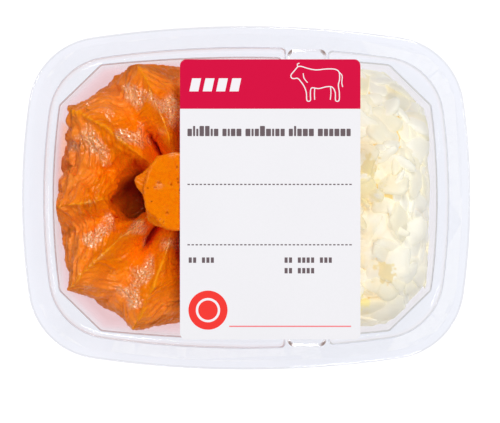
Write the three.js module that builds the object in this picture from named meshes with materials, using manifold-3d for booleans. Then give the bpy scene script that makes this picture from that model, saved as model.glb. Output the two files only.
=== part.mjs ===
import * as THREE from 'three';
import { mergeVertices } from 'three/addons/utils/BufferGeometryUtils.js';
import Module from 'manifold-3d';

// A film-sealed, clear, two-bay tray with a piped swirl of beef tartare and a heap of chopped
// raw onion, and a paper label stuck across the film. Millimetres, +X along the tray towards
// the onion, +Z up, origin on the surface it stands on, under the middle of the tray.

// Tray, formed from one clear sheet
const sheet = 0.5;
const rimTop = 36;
const rim = { halfX: 72.1, halfY: 55.2, endRadius: 220, sideRadius: 340, corner: 24 };
const lipDrop = 1.5;
const ring = { halfX: 64.8, halfY: 48, endRadius: 212, sideRadius: 330, corner: 20 };
const ringSlope = 0.8;
const ledgeTop = 32;
const cup = { halfX: 61.6, halfY: 45, endRadius: 215, sideRadius: 440, corner: 2 };
const chamfer = { fromX: 59.5, fromY: 29.8, toX: 46.5, toY: 42.4 };
const draft = THREE.MathUtils.degToRad(3.5);
const floorFillet = 4.5;
const dividerCorner = 3;
const cupSetback = 1;
const tartareBayEdge = 12.3;
const onionBayEdge = 26.7;
const straight = 20000;

// Film and label
const filmThickness = 0.25;
const filmInset = 2.6;
const label = { x: 7.7, y: -0.5, width: 58, height: 90, corner: 2, thickness: 0.25 };

// Tartare: each ridge of the swirl by the direction of its tip, how far out it reaches, and how
// far its crest swings round on the way in to the middle
const swirl = { x: -21.8, y: 1.1 };
const ridges = [
  { turn: 107, reach: 44.2, swing: -11 },
  { turn: 142.5, reach: 44.8, swing: -13 },
  { turn: 186, reach: 40.2, swing: -4 },
  { turn: 221, reach: 46.6, swing: -8 },
  { turn: 251.5, reach: 45.8, swing: 10 },
  { turn: 288, reach: 44, swing: 4 },
  { turn: 324, reach: 37.5, swing: -5 },
  { turn: 359, reach: 30.4, swing: -8 },
  { turn: 395, reach: 37, swing: -4 },
  { turn: 431, reach: 43.5, swing: -9 },
];
// Sections of the swirl as [share of the ridge's reach, height], along a crest and along the
// valley beside it, from the foot up to the neck under the cap
const crestSection = [
  [0.86, 0.5], [0.94, 6], [0.985, 13], [1, 19], [0.96, 23], [0.86, 26], [0.72, 28.6],
  [0.56, 30.4], [0.44, 30], [0.35, 26], [0.27, 20], [0.22, 20.5],
];
const valleySection = [
  [0.86, 0.5], [0.93, 5], [0.97, 10.5], [0.965, 15], [0.9, 18.6], [0.8, 20.6], [0.67, 21.8],
  [0.54, 21.6], [0.43, 19.6], [0.35, 16.5], [0.27, 14.5], [0.22, 17],
];
const capRadius = 12.7;
const capSection = [[0.78, 27], [0.94, 31], [1, 33.6], [0.98, 35], [0.9, 35.6]];
const stepsPerRidge = 8;
const clearance = 0.3;

// Onion: a heap out to its uneven outline
const heap = { x: 43.6, y: 0, edgeTop: 24, middleTop: 32, lump: 2.2, inset: 1.2 };
const heapTurns = 56;
const heapRings = 9;

const clearPlastic = { color: 0xe9edf3, roughness: 0.12, metalness: 0 };
const paper = { color: 0xf2f0f4, roughness: 0.7, metalness: 0 };
const tartarePaste = { color: 0xec7411, roughness: 0.35, metalness: 0 };
const rawOnion = { color: 0xf1eed6, roughness: 0.4, metalness: 0 };

const wasm = await Module();
wasm.setup();

// A straight side of an outline, as a very large circle that passes through both points
function straightSide(fromX, fromY, toX, toY) {
  const length = Math.hypot(toX - fromX, toY - fromY);
  const normalX = (toY - fromY) / length;
  const normalY = (fromX - toX) / length;
  return { x: fromX - normalX * straight, y: fromY - normalY * straight, radius: straight };
}

// Where the round corner between two neighbouring sides has its centre
function cornerCentre(side, next, inset, corner) {
  const a = side.radius - inset - corner;
  const b = next.radius - inset - corner;
  const dx = next.x - side.x;
  const dy = next.y - side.y;
  const apart = Math.hypot(dx, dy);
  const along = (a * a - b * b + apart * apart) / (2 * apart);
  const across = Math.sqrt(a * a - along * along);
  return {
    x: side.x + (dx * along - dy * across) / apart,
    y: side.y + (dy * along + dx * across) / apart,
  };
}

function pointsOnArc(centre, radius, from, to, steps) {
  const turn = Math.atan2(Math.sin(to - from), Math.cos(to - from));
  const points = [];
  for (let i = 0; i <= steps; i += 1) {
    const angle = from + (turn * i) / steps;
    points.push([centre.x + radius * Math.cos(angle), centre.y + radius * Math.sin(angle)]);
  }
  return points;
}

// A counter-clockwise outline of circular sides with a round corner after each of them
function outlineOf(sides, corners, inset = 0) {
  const count = sides.length;
  const centres = sides.map((side, i) => (
    cornerCentre(side, sides[(i + 1) % count], inset, corners[i])));
  const angleTo = (side, centre) => Math.atan2(centre.y - side.y, centre.x - side.x);
  const points = [];
  sides.forEach((side, i) => {
    const before = centres[(i + count - 1) % count];
    const next = sides[(i + 1) % count];
    const start = angleTo(side, before);
    const end = angleTo(side, centres[i]);
    const cornerSteps = corners[i] > dividerCorner ? 8 : 3;
    points.push(...pointsOnArc(side, side.radius - inset, start, end, 5).slice(1));
    points.push(...pointsOnArc(centres[i], corners[i], end, angleTo(next, centres[i]),
      cornerSteps).slice(1));
  });
  return points;
}

function bowedSides(shape) {
  const endX = shape.halfX - shape.endRadius;
  const sideY = shape.halfY - shape.sideRadius;
  return {
    end: { x: endX, y: 0, radius: shape.endRadius },
    top: { x: 0, y: sideY, radius: shape.sideRadius },
    farEnd: { x: -endX, y: 0, radius: shape.endRadius },
    bottom: { x: 0, y: -sideY, radius: shape.sideRadius },
  };
}

function rimOutline(inset) {
  const { end, top, farEnd, bottom } = bowedSides(rim);
  return outlineOf([end, top, farEnd, bottom], Array(4).fill(rim.corner - inset), inset);
}

// A bay's outlines are worked out for a bay that ends in +X, and the tartare's is its mirror image
function placed(outline, mirrored) {
  return mirrored ? outline.map(([x, y]) => [-x, y]).reverse() : outline;
}

function ringOutline(edge, mirrored, inset) {
  const { end, top, bottom } = bowedSides(ring);
  const divider = straightSide(edge, ring.halfY, edge, -ring.halfY);
  const corners = [ring.corner, dividerCorner, dividerCorner, ring.corner];
  return placed(outlineOf([end, top, divider, bottom], corners, inset), mirrored);
}

function cupOutline(edge, mirrored, inset) {
  const { end, top, bottom } = bowedSides(cup);
  const { fromX, fromY, toX, toY } = chamfer;
  const upper = straightSide(fromX, fromY, toX, toY);
  const lower = straightSide(toX, -toY, fromX, -fromY);
  const divider = straightSide(edge + cupSetback, cup.halfY, edge + cupSetback, -cup.halfY);
  const sides = [end, upper, top, divider, bottom, lower];
  const corners = [cup.corner, cup.corner, dividerCorner, dividerCorner, cup.corner, cup.corner];
  return placed(outlineOf(sides, corners, inset), mirrored);
}

function solidFrom(positions, indices) {
  const raw = new THREE.BufferGeometry();
  raw.setAttribute('position', new THREE.Float32BufferAttribute(positions, 3));
  raw.setIndex(indices);
  const merged = mergeVertices(raw, 1e-4);
  return new wasm.Manifold(new wasm.Mesh({
    numProp: 3,
    vertProperties: new Float32Array(merged.attributes.position.array),
    triVerts: new Uint32Array(merged.index.array),
  }));
}

// A solid through rings of points that all have the same count, from the lowest to the highest,
// closed by a fan at either end
function stackedSolid(rings) {
  const count = rings[0].length;
  const positions = rings.flat(2);
  const indices = [];
  for (let level = 0; level < rings.length - 1; level += 1) {
    for (let i = 0; i < count; i += 1) {
      const a = level * count + i;
      const b = level * count + ((i + 1) % count);
      indices.push(a, b, b + count, a, b + count, a + count);
    }
  }
  [rings[0], rings[rings.length - 1]].forEach((end, isTop) => {
    const middle = positions.length / 3;
    const first = isTop ? (rings.length - 1) * count : 0;
    for (let axis = 0; axis < 3; axis += 1) {
      positions.push(end.reduce((sum, point) => sum + point[axis], 0) / count);
    }
    for (let i = 0; i < count; i += 1) {
      const a = first + i;
      const b = first + ((i + 1) % count);
      indices.push(...(isTop ? [middle, a, b] : [middle, b, a]));
    }
  });
  return solidFrom(positions, indices);
}

const atHeight = (outline, z) => outline.map(([x, y]) => [x, y, z]);

function plate(outline, low, high) {
  return stackedSolid([atHeight(outline, low), atHeight(outline, high)]);
}

// The space inside one bay, from its floor up to above the rim; wall moves every face outwards
function bayRecess(edge, mirrored, wall) {
  const top = wall > 0 ? rimTop : rimTop + 1;
  const low = ledgeTop - wall;
  return stackedSolid([
    atHeight(ringOutline(edge, mirrored, ringSlope - wall), low),
    atHeight(ringOutline(edge, mirrored, -wall), rimTop),
    ...(top > rimTop ? [atHeight(ringOutline(edge, mirrored, -wall), top)] : []),
  ]);
}

function bayCup(edge, mirrored, wall) {
  const floor = sheet - wall;
  const fillet = floorFillet + wall;
  const rings = [];
  for (let i = 0; i <= 4; i += 1) {
    const angle = (Math.PI / 2) * (i / 4);
    const z = floor + fillet * (1 - Math.cos(angle));
    const inset = (ledgeTop - z) * Math.tan(draft) + fillet * (1 - Math.sin(angle)) - wall;
    rings.push(atHeight(cupOutline(edge, mirrored, inset), z));
  }
  const top = wall > 0 ? ledgeTop : ledgeTop + 0.5;
  rings.push(atHeight(cupOutline(edge, mirrored, -wall), top));
  return stackedSolid(rings);
}

function makeTray() {
  const bays = [[-tartareBayEdge, true], [onionBayEdge, false]];
  const lip = plate(rimOutline(0), rimTop - lipDrop, rimTop)
    .subtract(plate(rimOutline(sheet), rimTop - lipDrop - 1, rimTop - sheet));
  let body = lip.add(plate(rimOutline(sheet / 2), rimTop - sheet, rimTop));
  for (const [edge, mirrored] of bays) {
    body = body.add(bayRecess(edge, mirrored, sheet)).add(bayCup(edge, mirrored, sheet));
  }
  for (const [edge, mirrored] of bays) {
    body = body.subtract(bayRecess(edge, mirrored, 0)).subtract(bayCup(edge, mirrored, 0));
  }
  return body;
}

function makeFilm() {
  return plate(rimOutline(filmInset), rimTop, rimTop + filmThickness);
}

function makeLabel() {
  const left = label.x - label.width / 2;
  const right = label.x + label.width / 2;
  const low = label.y - label.height / 2;
  const high = label.y + label.height / 2;
  const sides = [
    straightSide(right, low, right, high),
    straightSide(right, high, left, high),
    straightSide(left, high, left, low),
    straightSide(left, low, right, low),
  ];
  const bottom = rimTop + filmThickness;
  return plate(outlineOf(sides, Array(4).fill(label.corner)), bottom, bottom + label.thickness);
}

// How far out the straight edge between two ridge tips lies, and in which direction, at a share
// of the way from one to the next; share is how far out in the ridge's section the point is
function swirlPoint(ridge, next, between, share, height) {
  const bend = 1 - share;
  const fromTurn = THREE.MathUtils.degToRad(ridge.turn + ridge.swing * bend);
  const toTurn = THREE.MathUtils.degToRad(next.turn + next.swing * bend);
  const x = THREE.MathUtils.lerp(
    ridge.reach * Math.cos(fromTurn), next.reach * Math.cos(toTurn), between);
  const y = THREE.MathUtils.lerp(
    ridge.reach * Math.sin(fromTurn), next.reach * Math.sin(toTurn), between);
  return [swirl.x + x * share, swirl.y + y * share, height];
}

function capPoint(ridge, next, between, share, height) {
  const turn = THREE.MathUtils.degToRad(
    THREE.MathUtils.lerp(ridge.turn + ridge.swing, next.turn + next.swing, between));
  const radius = capRadius * share;
  return [swirl.x + radius * Math.cos(turn), swirl.y + radius * Math.sin(turn), height];
}

// The piped swirl: sharp crests with round valleys between them, round a hollow that the pressed
// flat end of the paste covers
function makeTartare() {
  const rings = crestSection.map(() => []).concat(capSection.map(() => []));
  ridges.forEach((ridge, i) => {
    const last = i === ridges.length - 1;
    const next = last ? { ...ridges[0], turn: ridges[0].turn + 360 } : ridges[i + 1];
    for (let step = 0; step < stepsPerRidge; step += 1) {
      const between = step / stepsPerRidge;
      const crest = Math.abs(2 * between - 1) ** 1.4;
      crestSection.forEach(([crestShare, crestHeight], level) => {
        const [valleyShare, valleyHeight] = valleySection[level];
        const share = THREE.MathUtils.lerp(valleyShare, crestShare, crest);
        const height = THREE.MathUtils.lerp(valleyHeight, crestHeight, crest);
        rings[level].push(swirlPoint(ridge, next, between, share, height));
      });
      capSection.forEach(([share, height], level) => {
        rings[crestSection.length + level].push(capPoint(ridge, next, between, share, height));
      });
    }
  });
  return stackedSolid(rings).intersect(bayCup(-tartareBayEdge, true, -clearance));
}

// A repeatable unevenness from -1 to 1
function lumpiness(x, y) {
  const broad = Math.sin(x * 0.55 + 1.3) * Math.cos(y * 0.47 + 0.4);
  const fine = Math.sin(x * 1.25 - y * 0.9) * Math.cos(y * 1.1 + x * 0.35 + 2);
  return 0.5 * broad + 0.5 * fine;
}

// The heap of chopped onion fills its bay from wall to wall, highest in the middle
function makeOnion() {
  const edge = { x: cup.halfX - heap.x - heap.inset, y: cup.halfY - heap.inset };
  const rings = [];
  const oval = (angle, share, z) => {
    const square = Math.max(Math.abs(Math.cos(angle)), Math.abs(Math.sin(angle))) ** 0.55;
    const x = heap.x + (edge.x * Math.cos(angle) * share) / square;
    const y = heap.y + (edge.y * Math.sin(angle) * share) / square;
    return [x, y, z ?? lumpyTop(x, y, share)];
  };
  const lumpyTop = (x, y, share) => (
    THREE.MathUtils.lerp(heap.middleTop, heap.edgeTop, share ** 2.2)
    + heap.lump * lumpiness(x, y));
  const ringAt = (share, z) => Array.from({ length: heapTurns }, (_, i) => (
    oval((2 * Math.PI * i) / heapTurns, share, z)));
  rings.push(ringAt(0.9, sheet), ringAt(0.97, sheet + floorFillet));
  for (let level = 0; level < heapRings; level += 1) {
    rings.push(ringAt(1 - level / heapRings));
  }
  return stackedSolid(rings).intersect(bayCup(onionBayEdge, false, -clearance));
}

function namedMesh(name, solid, look) {
  const { numProp, vertProperties, triVerts } = solid.getMesh();
  const geometry = new THREE.BufferGeometry();
  const positions = [];
  for (let i = 0; i < vertProperties.length; i += numProp) {
    positions.push(vertProperties[i], vertProperties[i + 1], vertProperties[i + 2]);
  }
  geometry.setAttribute('position', new THREE.Float32BufferAttribute(positions, 3));
  geometry.setIndex(Array.from(triVerts));
  geometry.computeVertexNormals();
  const mesh = new THREE.Mesh(geometry, new THREE.MeshStandardMaterial(look));
  mesh.name = name;
  return mesh;
}

const clear = { ...clearPlastic, transparent: true, opacity: 0.35 };
const packagedTartare = new THREE.Group();
packagedTartare.add(
  namedMesh('tray', makeTray(), clear),
  namedMesh('film', makeFilm(), clear),
  namedMesh('label', makeLabel(), paper),
  namedMesh('tartare', makeTartare(), tartarePaste),
  namedMesh('onion', makeOnion(), rawOnion),
);

export default packagedTartare;
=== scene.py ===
import math

import bpy
import numpy as np
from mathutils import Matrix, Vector, noise
from mathutils.geometry import delaunay_2d_cdt


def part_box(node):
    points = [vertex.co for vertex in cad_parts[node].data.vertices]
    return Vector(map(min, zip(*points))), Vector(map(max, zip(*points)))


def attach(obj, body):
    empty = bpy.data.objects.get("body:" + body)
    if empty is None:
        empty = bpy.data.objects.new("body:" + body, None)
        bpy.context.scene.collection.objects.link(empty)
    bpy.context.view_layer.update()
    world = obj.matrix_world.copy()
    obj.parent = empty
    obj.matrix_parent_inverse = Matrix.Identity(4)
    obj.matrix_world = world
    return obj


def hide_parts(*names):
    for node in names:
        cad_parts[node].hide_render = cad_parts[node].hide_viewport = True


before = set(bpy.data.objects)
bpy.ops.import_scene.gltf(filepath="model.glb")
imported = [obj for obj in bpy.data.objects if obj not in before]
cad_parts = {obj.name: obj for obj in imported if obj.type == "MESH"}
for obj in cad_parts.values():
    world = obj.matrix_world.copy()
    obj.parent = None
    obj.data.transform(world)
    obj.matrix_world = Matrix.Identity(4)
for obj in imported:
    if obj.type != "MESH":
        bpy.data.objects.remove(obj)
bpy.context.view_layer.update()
scene = bpy.context.scene
mm = 0.001
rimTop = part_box("tray")[1].z / mm


def linearColour(hexColour, alpha=1.0):
    channels = [int(hexColour[i:i + 2], 16) / 255 for i in (1, 3, 5)]
    linear = [c / 12.92 if c <= 0.04045 else ((c + 0.055) / 1.055) ** 2.4 for c in channels]
    return (*linear, alpha)


# Values of the sockets come by name or number, or as a list in the order of the sockets
def addNode(tree, kind, sockets=(), **settings):
    made = tree.nodes.new(kind)
    for name, value in settings.items():
        setattr(made, name, value)
    given = sockets.items() if isinstance(sockets, dict) else enumerate(sockets)
    for name, value in given:
        if isinstance(value, bpy.types.NodeSocket):
            tree.links.new(value, made.inputs[name])
        else:
            made.inputs[name].default_value = value
    return made


def newMaterial(name):
    made = bpy.data.materials.new(name)
    made.use_nodes = True
    made.node_tree.nodes.clear()
    return made, made.node_tree


def closeMaterial(tree, shader):
    addNode(tree, "ShaderNodeOutputMaterial", {"Surface": shader})


def makePiece(name, points, faces, materials, faceMaterials=None, smooth=True):
    mesh = bpy.data.meshes.new(name)
    mesh.from_pydata((np.asarray(points, float) * mm).tolist(), [], [list(f) for f in faces])
    for made in materials:
        mesh.materials.append(made)
    if faceMaterials is not None:
        mesh.polygons.foreach_set("material_index", np.asarray(faceMaterials, np.int32))
    mesh.polygons.foreach_set("use_smooth", np.full(len(mesh.polygons), smooth))
    mesh.validate()
    mesh.update()
    piece = bpy.data.objects.new(name, mesh)
    scene.collection.objects.link(piece)
    return piece


def setAttribute(piece, name, values):
    attribute = piece.data.attributes.new(name, "FLOAT", "POINT")
    attribute.data.foreach_set("value", np.asarray(values, np.float32))


def setPlaces(piece, name, values):
    attribute = piece.data.attributes.new(name, "FLOAT_VECTOR", "POINT")
    attribute.data.foreach_set("vector", np.asarray(values, np.float32).ravel())


def finishPiece(piece, node):
    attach(piece, "root")
    if node:
        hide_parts(node)


def ringQuads(ringCount, around):
    level = np.arange(ringCount - 1)[:, None] * around
    here = np.arange(around)[None, :]
    after = (here + 1) % around
    quads = [level + here, level + after, level + around + after, level + around + here]
    return np.stack(quads, axis=-1).reshape(-1, 4).tolist()


def fanFaces(around, first, tip, flip=False):
    edges = [(first + i, first + (i + 1) % around) for i in range(around)]
    return [[b, a, tip] if flip else [a, b, tip] for a, b in edges]


# Outlines: sides are circles (x, y, radius), a straight side is a very large one, and a round
# corner of its own radius follows each side
def straightSide(x1, y1, x2, y2, radius=20000.0):
    length = math.hypot(x2 - x1, y2 - y1)
    return (x1 - (y2 - y1) / length * radius, y1 - (x1 - x2) / length * radius, radius)


def cornerCentre(side, after, inset, corner):
    a, b = side[2] - inset - corner, after[2] - inset - corner
    dx, dy = after[0] - side[0], after[1] - side[1]
    apart = math.hypot(dx, dy)
    along = (a * a - b * b + apart * apart) / (2 * apart)
    across = math.sqrt(a * a - along * along)
    return (side[0] + (dx * along - dy * across) / apart,
            side[1] + (dy * along + dx * across) / apart)


def arcPoints(centre, radius, start, end, steps):
    turn = math.atan2(math.sin(end - start), math.cos(end - start))
    angles = start + turn * np.arange(1, steps + 1) / steps
    return np.stack([centre[0] + radius * np.cos(angles), centre[1] + radius * np.sin(angles)], 1)


def outlineOf(sides, corners, inset=0.0, sideSteps=36, cornerSteps=12):
    count = len(sides)
    centres = [cornerCentre(sides[i], sides[(i + 1) % count], inset, corners[i])
               for i in range(count)]
    angleTo = lambda side, centre: math.atan2(centre[1] - side[1], centre[0] - side[0])
    points = []
    for i, side in enumerate(sides):
        start, end = angleTo(side, centres[i - 1]), angleTo(side, centres[i])
        points.append(arcPoints(side, side[2] - inset, start, end, sideSteps))
        cornerEnd = angleTo(sides[(i + 1) % count], centres[i])
        points.append(arcPoints(centres[i], corners[i], end, cornerEnd, cornerSteps))
    return np.concatenate(points)


def bowedSides(halfX, halfY, endRadius, sideRadius):
    return {"end": (halfX - endRadius, 0, endRadius), "top": (0, halfY - sideRadius, sideRadius),
            "farEnd": (endRadius - halfX, 0, endRadius),
            "bottom": (0, sideRadius - halfY, sideRadius)}


# Tray: sizes in mm, as in the frame
tray = {
    "sheet": 0.5, "rim": (72.1, 55.2, 220, 340), "rimCorner": 24, "rimSteps": (36, 16),
    "ring": (64.8, 48, 212, 330), "ringCorner": 20, "ringSlope": 0.8,
    "ledgeTop": 32, "cup": (61.6, 45, 215, 440), "cupCorner": 2,
    "chamfer": (59.5, 29.8, 46.5, 42.4), "draft": math.radians(3.5),
    "floorFillet": 4.5, "dividerCorner": 0.9, "cupSetback": 1, "cupShift": -0.35,
    "bayEdges": {"tartare": -12.3, "onion": 26.7},
    "bayCentres": {"tartare": (-25.0, 0.0), "onion": (44.5, 0.0)},
    # bends down a bay's wall: how far each is rounded, its steps and how strong its painted dark line
    # is
    "bends": ((0.55, 7, 0.5), (0.7, 6, 0), (0.4, 7, 0.9)), "floorBend": (9, 0.05),
    "mostRounded": 0.45, "rimOverlap": 0.5, "floorRing": 9,
    # where the ring's corners beside the bridge show a stronger painted dark line
    "tightCorner": {"reach": 2.2, "across": 1.2, "from": 46.3, "above": 0.3, "strength": 2},
    # painted pink reflection of the paste: it starts this far under the ledge and is full this much
    # lower
    "pasteGlow": (2, 14),
    # the part of the end wall where the paste lies close, with a stronger painted reflection, along
    # y, with its two soft edges
    "reflection": {"low": -2, "high": 24, "softLow": 6, "softHigh": 0.3, "upTo": -48,
                   "wall": -36.5, "rays": (0.05, 0.35)},
    # the outer edge that turns down: a round stretch, then (depth, strength of its painted line)
    # below it
    "lip": {"radius": 0.7, "start": 0.3, "steps": 5, "shade": 0.2, "width": 1.6,
            "foot": ((1.5, 0.1), (0.75, 0.15))},
    # the shallow pan in the bridge between the bays, and how strong its painted dark lines are
    "pan": {"middle": 19.5, "halfWidth": 6.1, "end": 47.6, "corner": 2.2, "cornerSteps": 11,
            "wall": 0.6, "drop": 0.5, "cornerShade": 1.1, "sideShade": 0.12, "footShade": 0.6,
            "lineWidth": 0.3},
}


def rimOutline(inset, steps=tray["rimSteps"]):
    sides = bowedSides(*tray["rim"])
    order = [sides[k] for k in ("end", "top", "farEnd", "bottom")]
    return outlineOf(order, [tray["rimCorner"] - inset] * 4, inset, *steps)


# A bay is outlined on the onion's side of the tray; the tartare's is turned over to its side
def bayOutline(bay, part, inset):
    edge = tray["bayEdges"][bay] + (tray["cupSetback"] if part == "cup" else 0)
    halfY = tray[part][1]
    divider = straightSide(edge, halfY, edge, -halfY)
    s = bowedSides(*tray[part])
    tight = tray["dividerCorner"]
    if part == "ring":
        sides = [s["end"], s["top"], divider, s["bottom"]]
        corners = [tray["ringCorner"], tight, tight, tray["ringCorner"]]
    else:
        x1, y1, x2, y2 = tray["chamfer"]
        sides = [s["end"], straightSide(x1, y1, x2, y2), s["top"], divider, s["bottom"],
                 straightSide(x2, -y2, x1, -y1)]
        small = tray["cupCorner"]
        corners = [small, small, tight, tight, small, small]
    outline = outlineOf(sides, corners, inset)
    if bay == "tartare":
        outline = outline * (-1, 1)
    return outline if part == "ring" else outline + (tray["cupShift"], 0)


def polarRadius(bay, outline, angles):
    offset = outline - tray["bayCentres"][bay]
    return np.interp(angles, np.arctan2(offset[:, 1], offset[:, 0]),
                     np.hypot(offset[:, 0], offset[:, 1]), period=2 * math.pi)


# Rays from the middle of a bay and how far its wall is along each, with extra rays where a
# corner or the edge of the painted reflection would fall between two
def bayWall(bay):
    ring = bayOutline(bay, "ring", 0)
    fromEdge = np.abs(np.abs(ring[:, 0]) - abs(tray["bayEdges"][bay]))
    corners = ring[fromEdge < tray["tightCorner"]["reach"]]
    offset = np.vstack([bayOutline(bay, "cup", 0), corners]) - tray["bayCentres"][bay]
    if bay == "tartare":
        patch = tray["reflection"]
        rays = [(patch["wall"], patch["high"] - away) for away in patch["rays"]]
        offset = np.vstack([offset, rays])
    angles = np.unique(np.mod(np.arctan2(offset[:, 1], offset[:, 0]), 2 * math.pi))
    deepInset = (tray["ledgeTop"] - tray["sheet"]) * math.tan(tray["draft"])
    levels = {"ringTop": ("ring", 0), "ringBottom": ("ring", tray["ringSlope"]),
              "cupTop": ("cup", 0), "cupFloor": ("cup", deepInset)}
    return angles, {name: polarRadius(bay, bayOutline(bay, *level), angles)
                    for name, level in levels.items()}


bayWalls = {bay: bayWall(bay) for bay in tray["bayEdges"]}


# How far a point at this angle and height may be from the middle of its bay, in mm
def wallLimit(bay, angles, heights, gap):
    wallAngles, radii = bayWalls[bay]
    top, low = (np.interp(angles, wallAngles, radii[level], period=2 * math.pi)
                for level in ("cupTop", "cupFloor"))
    floor, fillet = tray["sheet"], tray["floorFillet"]
    share = np.clip((heights - floor) / (tray["ledgeTop"] - floor), 0, 1)
    rise = np.clip(1 - (heights - floor) / fillet, 0, 1)
    return low + (top - low) * share - fillet * (1 - np.sqrt(1 - rise ** 2)) - gap


def keepInside(bay, points, gap):
    offset = points[:, :2] - tray["bayCentres"][bay]
    angles = np.arctan2(offset[:, 1], offset[:, 0])
    radius = np.hypot(offset[:, 0], offset[:, 1])
    limit = wallLimit(bay, angles, points[:, 2], gap)
    points[:, :2] = tray["bayCentres"][bay] + offset * np.minimum(1, limit / radius)[:, None]
    return points


# Rounds the corners of many sections at once: each corner is an array (n, 2) of radius and height
def roundedSections(corners, bends):
    rows, shades = [corners[0]], [0.0]
    sets = zip(corners, corners[1:], corners[2:], bends)
    for before, here, after, (reach, steps, shade) in sets:
        ends = []
        for other in (before, after):
            span = np.linalg.norm(other - here, axis=1, keepdims=True)
            rounded = np.minimum(reach, tray["mostRounded"] * span)
            ends.append(here + (other - here) / span * rounded)
        for t in np.linspace(0, 1, steps):
            rows.append((1 - t) ** 2 * ends[0] + 2 * t * (1 - t) * here + t * t * ends[1])
            shades.append(shade * math.sin(math.pi * t))
    return rows + [corners[-1]], shades + [0.0]


# How much painted reflection of the paste tints each point of its bay: above 1 in the part close to
# it
def pasteGlow(points):
    start, depth = tray["pasteGlow"]
    patch = tray["reflection"]
    glow = np.clip((tray["ledgeTop"] - start - points[:, 2]) / depth, 0, 1)
    inPatch = (np.clip((points[:, 1] - patch["low"]) / patch["softLow"], 0, 1)
               * np.clip((patch["high"] - points[:, 1]) / patch["softHigh"], 0, 1))
    return glow + glow * inPatch * (points[:, 0] < patch["upTo"])


# Each part of the tray is its points, its faces and its shares for the shader
def bayPart(bay):
    angles, radii = bayWalls[bay]
    cx, cy = tray["bayCentres"][bay]
    floor, ledge, count = tray["sheet"], tray["ledgeTop"], len(angles)
    at = lambda radius, z: np.stack([radius, np.full(count, z)], 1)
    corners = [at(radii["ringTop"] + tray["rimOverlap"], rimTop), at(radii["ringTop"], rimTop),
               at(radii["ringBottom"], ledge), at(radii["cupTop"], ledge),
               at(radii["cupFloor"], floor), at(radii["cupFloor"] - tray["floorRing"], floor)]
    bends = [*tray["bends"], (tray["floorFillet"], *tray["floorBend"])]
    rows, shades = roundedSections(corners, bends)
    points = np.vstack([np.column_stack([cx + row[:, 0] * np.cos(angles),
                                         cy + row[:, 0] * np.sin(angles), row[:, 1]])
                        for row in rows] + [(cx, cy, floor)])
    bend = np.append(np.repeat(shades, count), 0.0)
    last = (len(rows) - 1) * count
    faces = ringQuads(len(rows), count) + fanFaces(count, last, last + count)
    tight = tray["tightCorner"]
    edge = tray["bayEdges"][bay] * (-1 if bay == "tartare" else 1)
    # painted dark spots: the painted line is stronger where the ring's corners turn tight
    atCorner = ((np.abs(points[:, 0] - edge) < tight["across"])
                & (np.abs(points[:, 1]) > tight["from"])
                & (points[:, 2] > ledge + tight["above"]))
    bend = np.where(atCorner, np.minimum(tight["strength"] * bend, 1), bend)
    beside = bay == "tartare"
    glow = pasteGlow(points) if beside else np.zeros(len(points))
    return points, faces, {"bend": bend, "byPaste": np.full(len(points), float(beside)),
                           "pasteGlow": glow}


def ringPart(rings, byPaste):
    points = np.vstack([np.column_stack([outline, np.full(len(outline), rimTop - depth)])
                        for outline, depth, _ in rings])
    shares = {"bend": np.concatenate([shade for _, _, shade in rings]),
              "byPaste": np.full(len(points), byPaste), "pasteGlow": np.zeros(len(points))}
    return points, ringQuads(len(rings), len(rings[0][0])), shares


def lipRings():
    lip = tray["lip"]
    radius = lip["radius"]
    rows = [(0.0, depth, shade) for depth, shade in lip["foot"]]
    rows += [(radius * (1 - math.cos(a)), radius * (1 - math.sin(a)), lip["shade"] * math.cos(a))
             for a in np.linspace(lip["start"], math.pi / 2, lip["steps"])]
    rows.append((lip["width"], 0.0, 0.0))
    outlines = [rimOutline(inset) for inset, _, _ in rows]
    return [(outline, depth, np.full(len(outline), shade))
            for outline, (_, depth, shade) in zip(outlines, rows)]


# Edge of the pan, and how strong its painted dark line is: most of it shows at the corners, as
# painted dark spots
def panOutline(inset):
    pan = tray["pan"]
    corner = pan["corner"] - inset
    halfX, halfY = pan["halfWidth"] - inset, pan["end"] - inset
    points, shades = [], []
    for signX, signY, start in ((1, 1, 0), (-1, 1, 90), (-1, -1, 180), (1, -1, 270)):
        for step in np.radians(np.linspace(start, start + 90, pan["cornerSteps"])):
            points.append((pan["middle"] + signX * (halfX - corner) + corner * math.cos(step),
                           signY * (halfY - corner) + corner * math.sin(step)))
            shades.append(pan["sideShade"] + pan["cornerShade"] * math.sin(2 * step) ** 2)
    return np.array(points), np.clip(shades, 0, 1)


# The first and last ring carry no painted line, so that it ends beside the pan's wall
def panRings():
    wall, drop, width = (tray["pan"][key] for key in ("wall", "drop", "lineWidth"))
    rings = []
    for inset, depth, strength in ((-width, 0.0, 0.0), (0.0, 0.0, 1.0),
                                   (wall, drop, tray["pan"]["footShade"]),
                                   (wall + width, drop, 0.0)):
        outline, shades = panOutline(inset)
        rings.append((outline, depth, shades * strength))
    return rings


def insideOf(polygon, points):
    x, y = points[:, 0][:, None], points[:, 1][:, None]
    x1, y1 = polygon[:, 0][None, :], polygon[:, 1][None, :]
    x2, y2 = np.roll(x1, -1, axis=1), np.roll(y1, -1, axis=1)
    crossing = ((y1 > y) != (y2 > y)) & (x < (x2 - x1) * (y - y1) / (y2 - y1 + 1e-12) + x1)
    return crossing.sum(1) % 2 == 1


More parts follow.
